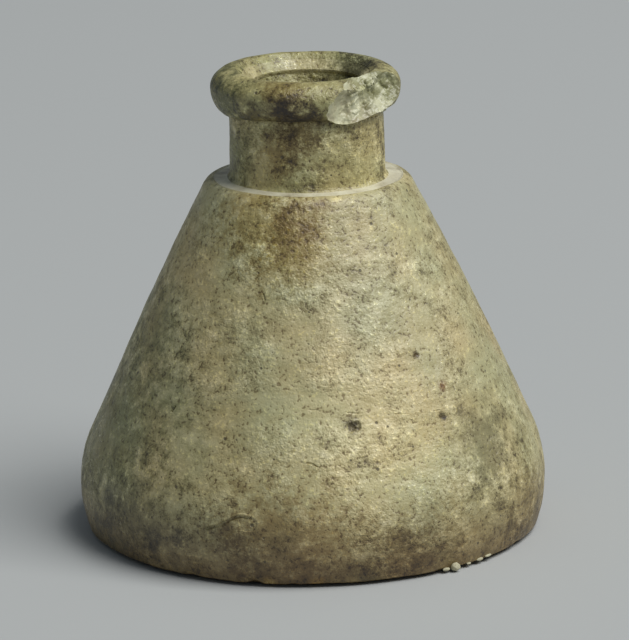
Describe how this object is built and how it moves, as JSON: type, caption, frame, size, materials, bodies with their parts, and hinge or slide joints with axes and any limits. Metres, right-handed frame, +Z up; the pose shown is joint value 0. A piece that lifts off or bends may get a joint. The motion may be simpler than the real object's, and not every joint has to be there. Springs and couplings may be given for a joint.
{
  "type": "bottle",
  "caption": "Small squat conical bottle of thick old glass under an olive-buff crust, with a flat shoulder ledge, short neck and fat rolled rim with a chip.",
  "frame": {"origin": "centre of the circle that the bottle stands on", "axes": "+Z up along the axis of the bottle, -Y towards the viewer, so that the chip in the rim is at the front right"},
  "size_m": [0.0832, 0.0832, 0.084],
  "materials": {
    "crust_base": "matte weathering crust",
    "crust_scar": "rough weathering crust",
    "crust_wall": "matte weathering crust",
    "crust_shoulder": "smooth satin crust",
    "crust_neck": "matte weathering crust",
    "crust_rim": "satin crust with a fresh glossy break",
    "crust_fold": "matte weathering crust",
    "grit": "rough"
  },
  "bodies": {
    "root": {"base_disc": "crust_base", "pontil_scar": "crust_scar", "body_wall": "crust_wall", "shoulder_ledge": "crust_shoulder", "neck_tube": "crust_neck", "rim_roll": "crust_rim", "inner_fold": "crust_fold", "heel_grain_1": "grit", "heel_grain_2": "grit", "heel_grain_3": "grit", "heel_grain_4": "grit", "heel_grain_5": "grit"}
  },
  "joints": []
}
